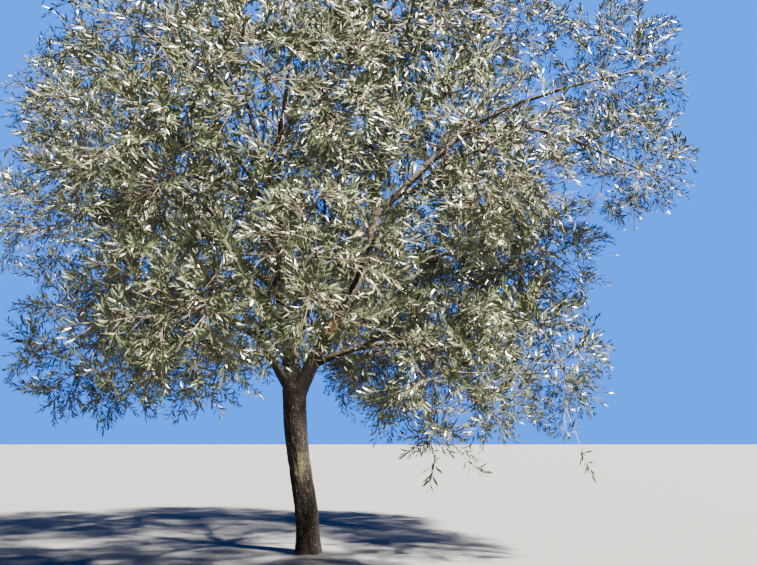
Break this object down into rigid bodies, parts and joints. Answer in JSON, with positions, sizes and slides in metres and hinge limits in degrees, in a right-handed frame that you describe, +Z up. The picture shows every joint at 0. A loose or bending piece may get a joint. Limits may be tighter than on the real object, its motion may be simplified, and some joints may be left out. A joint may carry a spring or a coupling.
{
  "type": "olive tree",
  "caption": "Small orchard olive tree: a short leaning trunk that forks low into leaders and arms, under a wide round crown of silver-green foliage.",
  "frame": {"origin": "middle of the flat cut under the trunk, at ground level", "axes": "+Z up, +X to the viewer's right when the tree is seen as in the picture, +Y away from the viewer"},
  "size_m": [5.1065, 4.6085, 4.7839],
  "materials": {
    "trunk_bark": "rough",
    "bough_bark": "rough",
    "foliage": "satin"
  },
  "bodies": {
    "root": {"back_arm": "trunk_bark", "back_arm_foliage": "foliage", "back_crest": "bough_bark", "back_crest_foliage": "foliage", "back_left_arm": "bough_bark", "back_left_arm_foliage": "foliage", "back_left_bough": "bough_bark", "back_left_bough_foliage": "foliage", "back_low_bough": "bough_bark", "back_low_bough_foliage": "foliage", "back_right_arm": "bough_bark", "back_right_arm_foliage": "foliage", "back_right_bough": "bough_bark", "back_right_bough_foliage": "foliage", "centre_crest": "bough_bark", "centre_crest_foliage": "foliage", "centre_leader": "bough_bark", "centre_leader_foliage": "foliage", "front_arm": "trunk_bark", "front_arm_foliage": "foliage", "front_bough": "bough_bark", "front_bough_foliage": "foliage", "front_crest": "bough_bark", "front_crest_foliage": "foliage", "front_left_bough": "bough_bark", "front_left_bough_foliage": "foliage", "front_left_crest": "bough_bark", "front_left_crest_foliage": "foliage", "front_right_bough": "bough_bark", "front_right_bough_foliage": "foliage", "left_arm": "bough_bark", "left_arm_foliage": "foliage", "left_bough": "bough_bark", "left_bough_foliage": "foliage", "left_crest": "bough_bark", "left_crest_foliage": "foliage", "left_leader": "trunk_bark", "low_front_arm": "bough_bark", "low_front_arm_foliage": "foliage", "low_front_bough": "bough_bark", "low_front_bough_foliage": "foliage", "low_left_arm": "bough_bark", "low_left_arm_foliage": "foliage", "low_right_arm": "bough_bark", "low_right_arm_foliage": "foliage", "right_arm": "trunk_bark", "right_arm_foliage": "foliage", "right_bough": "bough_bark", "right_bough_foliage": "foliage", "right_crest": "bough_bark", "right_crest_foliage": "foliage", "right_drop": "bough_bark", "right_drop_foliage": "foliage", "right_leader": "trunk_bark", "trunk": "trunk_bark"}
  },
  "joints": []
}
